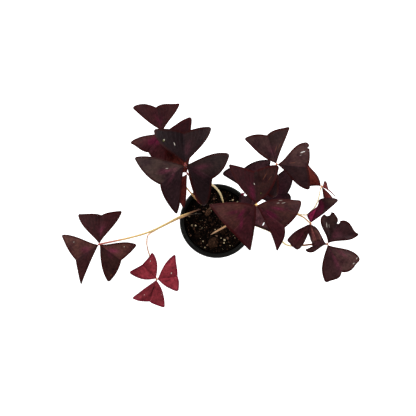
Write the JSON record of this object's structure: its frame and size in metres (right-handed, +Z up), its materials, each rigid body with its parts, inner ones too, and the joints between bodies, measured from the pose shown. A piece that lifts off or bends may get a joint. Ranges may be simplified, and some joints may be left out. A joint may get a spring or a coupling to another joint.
{
  "type": "potted purple shamrock",
  "caption": "Potted purple shamrock: arching leaf stalks topped with folded, notched purple leaflets, growing from bark mix in a round black nursery pot.",
  "frame": {"origin": "centre of the pot's flat underside", "axes": "+Z up out of the pot; +X towards the long right-hand leaves, +Y towards the side where the tallest leaves lean"},
  "size_m": [0.4006, 0.271, 0.2068],
  "materials": {
    "pot_plastic": "satin",
    "bark_mix": "matte",
    "petiole_skin": "satin",
    "purple_blade": "satin",
    "crimson_blade": "satin",
    "russet_blade": "satin"
  },
  "bodies": {
    "root": {"pot": "pot_plastic", "soil": "bark_mix", "petiole_a": "petiole_skin", "leaflet_a1": "purple_blade", "leaflet_a2": "purple_blade", "leaflet_a3": "purple_blade", "petiole_b": "petiole_skin", "leaflet_b1": "crimson_blade", "leaflet_b2": "crimson_blade", "leaflet_b3": "crimson_blade", "petiole_c": "petiole_skin", "leaflet_c1": "purple_blade", "leaflet_c2": "purple_blade", "leaflet_c3": "purple_blade", "petiole_e": "petiole_skin", "leaflet_e1": "purple_blade", "leaflet_e2": "purple_blade", "leaflet_e3": "purple_blade", "petiole_f": "petiole_skin", "leaflet_f1": "purple_blade", "leaflet_f2": "purple_blade", "leaflet_f3": "purple_blade", "petiole_g": "petiole_skin", "leaflet_g1": "purple_blade", "leaflet_g2": "purple_blade", "leaflet_g3": "purple_blade", "petiole_h": "petiole_skin", "leaflet_h1": "purple_blade", "leaflet_h2": "purple_blade", "leaflet_h3": "purple_blade", "petiole_i": "petiole_skin", "leaflet_i1": "russet_blade", "leaflet_i2": "russet_blade", "leaflet_i3": "russet_blade", "petiole_j": "petiole_skin", "leaflet_j1": "purple_blade", "leaflet_j2": "purple_blade", "leaflet_j3": "purple_blade", "petiole_k": "petiole_skin", "leaflet_k1": "russet_blade", "leaflet_k2": "russet_blade", "leaflet_k3": "russet_blade", "petiole_l": "petiole_skin", "leaflet_l1": "purple_blade", "leaflet_l2": "purple_blade", "leaflet_l3": "purple_blade"}
  },
  "joints": []
}
